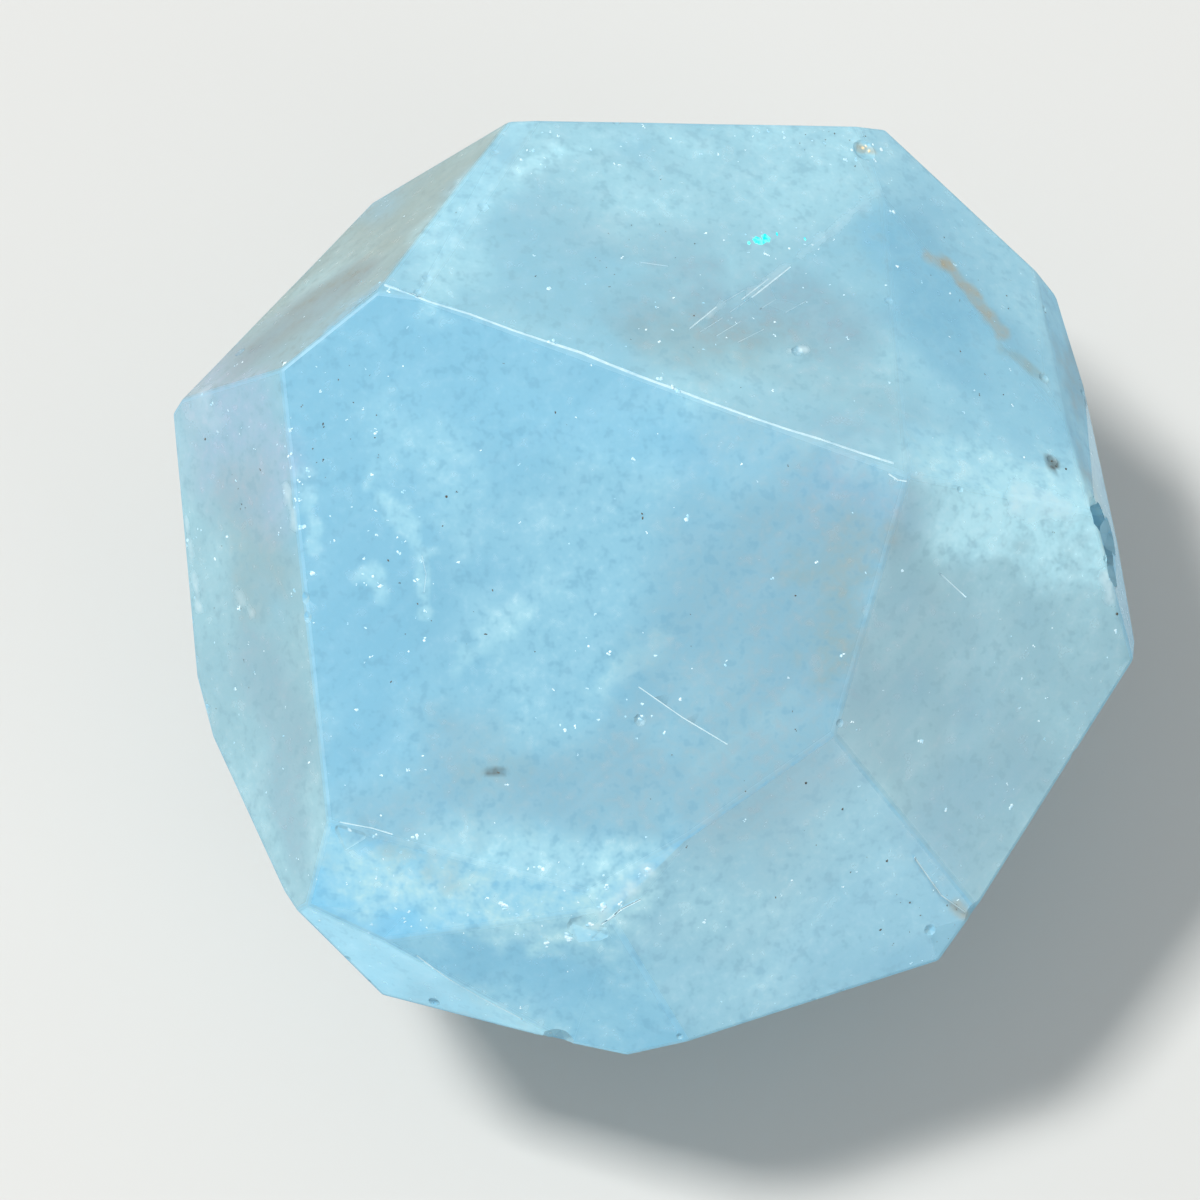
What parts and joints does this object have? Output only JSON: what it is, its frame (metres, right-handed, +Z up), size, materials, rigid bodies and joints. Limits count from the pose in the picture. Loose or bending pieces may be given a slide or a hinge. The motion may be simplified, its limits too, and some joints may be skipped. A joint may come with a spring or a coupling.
{
  "type": "aquamarine crystal nugget",
  "caption": "Hand-faceted, drilled nugget of milky pale blue aquamarine, resting on a flat ground on its back.",
  "frame": {"origin": "middle of the stone's outline, on the surface it rests on", "axes": "+Z up from the facet it rests on; +Y towards the upper side of the large front facet, which leans 20 degrees towards -Y; +X towards the drilled hole's right mouth"},
  "size_m": [0.0262, 0.0262, 0.0172],
  "materials": {
    "beryl": "soft hand polish on milky, see-through pale blue beryl"
  },
  "bodies": {
    "root": {"aquamarine_crystal": "beryl"}
  },
  "joints": []
}
